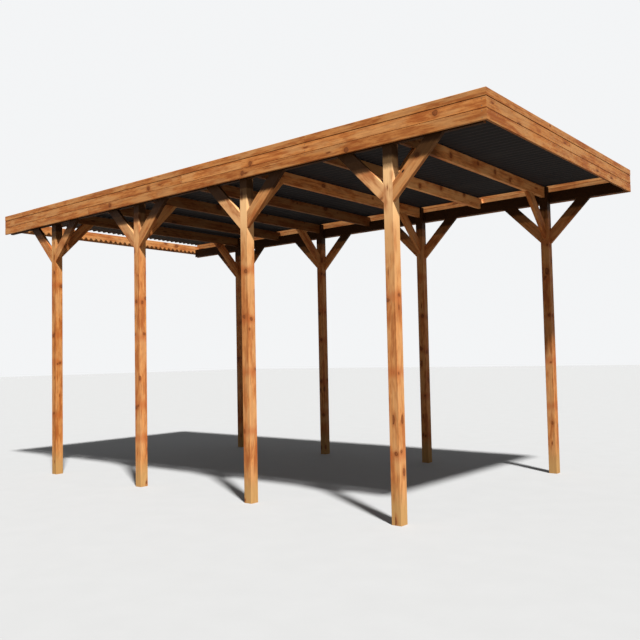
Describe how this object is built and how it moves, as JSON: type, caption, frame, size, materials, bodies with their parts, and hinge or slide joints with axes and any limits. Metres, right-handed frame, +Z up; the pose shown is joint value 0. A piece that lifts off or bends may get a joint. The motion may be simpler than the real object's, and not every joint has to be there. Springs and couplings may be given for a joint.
{
  "type": "timber carport",
  "caption": "Open timber carport: rows of square posts with knee braces carry side beams, cross rafters, a boarded fascia and a flat corrugated roof.",
  "frame": {"origin": "on the ground, under the middle of the roof's outline", "axes": "+X lengthwise to the front with the fascia, +Y across to the far row of posts, +Z up"},
  "size_m": [8.33, 4.005, 3.938],
  "materials": {
    "post_timber": "oiled softwood",
    "brace_timber": "oiled softwood",
    "rafter_timber": "oiled softwood",
    "fascia_timber": "oiled softwood",
    "roof_sheet": "matt bitumen fibre sheet"
  },
  "bodies": {
    "root": {"near_post_1": "post_timber", "near_braces_1": "brace_timber", "far_post_1": "post_timber", "far_braces_1": "brace_timber", "post_rafter_1": "rafter_timber", "near_post_2": "post_timber", "near_braces_2": "brace_timber", "far_post_2": "post_timber", "far_braces_2": "brace_timber", "post_rafter_2": "rafter_timber", "near_post_3": "post_timber", "near_braces_3": "brace_timber", "far_post_3": "post_timber", "far_braces_3": "brace_timber", "post_rafter_3": "rafter_timber", "near_post_4": "post_timber", "near_braces_4": "brace_timber", "far_post_4": "post_timber", "far_braces_4": "brace_timber", "post_rafter_4": "rafter_timber", "mid_rafter_1": "rafter_timber", "mid_rafter_2": "rafter_timber", "mid_rafter_3": "rafter_timber", "front_rafter": "rafter_timber", "rear_beam": "rafter_timber", "near_beam": "rafter_timber", "far_beam": "rafter_timber", "near_fascia_bottom": "fascia_timber", "near_fascia_middle": "fascia_timber", "near_fascia_top": "fascia_timber", "far_fascia_bottom": "fascia_timber", "far_fascia_middle": "fascia_timber", "far_fascia_top": "fascia_timber", "front_fascia_bottom": "fascia_timber", "front_fascia_middle": "fascia_timber", "front_fascia_top": "fascia_timber", "roof_sheet_1": "roof_sheet", "roof_sheet_2": "roof_sheet", "roof_sheet_3": "roof_sheet", "roof_sheet_4": "roof_sheet"}
  },
  "joints": []
}
